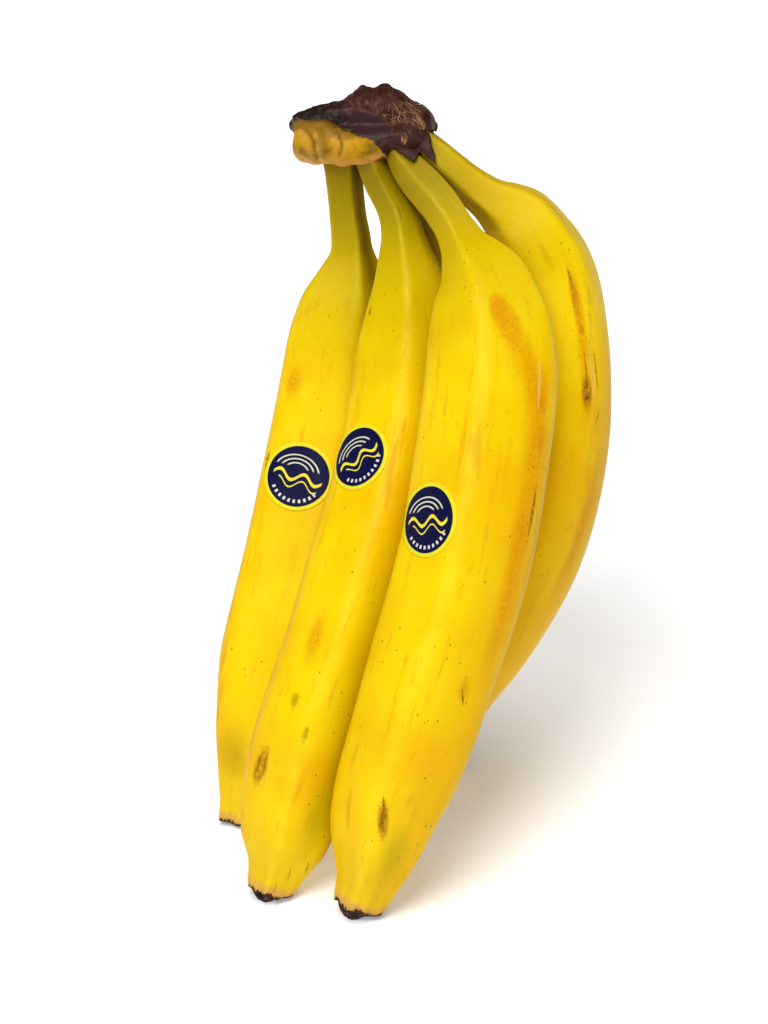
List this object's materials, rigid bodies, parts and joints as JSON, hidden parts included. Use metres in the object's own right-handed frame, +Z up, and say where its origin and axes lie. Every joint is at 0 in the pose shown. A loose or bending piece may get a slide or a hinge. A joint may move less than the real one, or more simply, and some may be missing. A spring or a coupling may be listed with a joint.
{
  "type": "hand of bananas",
  "caption": "Hand of ripe yellow bananas joined at a dark dried crown, standing on its tips, with round stickers",
  "frame": {"origin": "on the floor, under the middle of the whole hand's box", "axes": "+Z up, -Y is the front where the stickers face, +X is the viewer's right"},
  "size_m": [0.1186, 0.1414, 0.2146],
  "materials": {
    "skin": "waxy satin banana skin",
    "crown": "dried stem skin over amber stem tissue",
    "dried_tip": "dry and rough",
    "sticker": "glossy printed label"
  },
  "bodies": {
    "root": {"crown": "crown", "banana_1": "skin", "banana_2": "skin", "banana_3": "skin", "banana_4": "skin", "banana_5": "skin", "blossom_end_1": "dried_tip", "blossom_end_2": "dried_tip", "blossom_end_3": "dried_tip", "blossom_end_4": "dried_tip", "blossom_end_5": "dried_tip", "sticker_1": "sticker", "sticker_2": "sticker", "sticker_3": "sticker"}
  },
  "joints": []
}
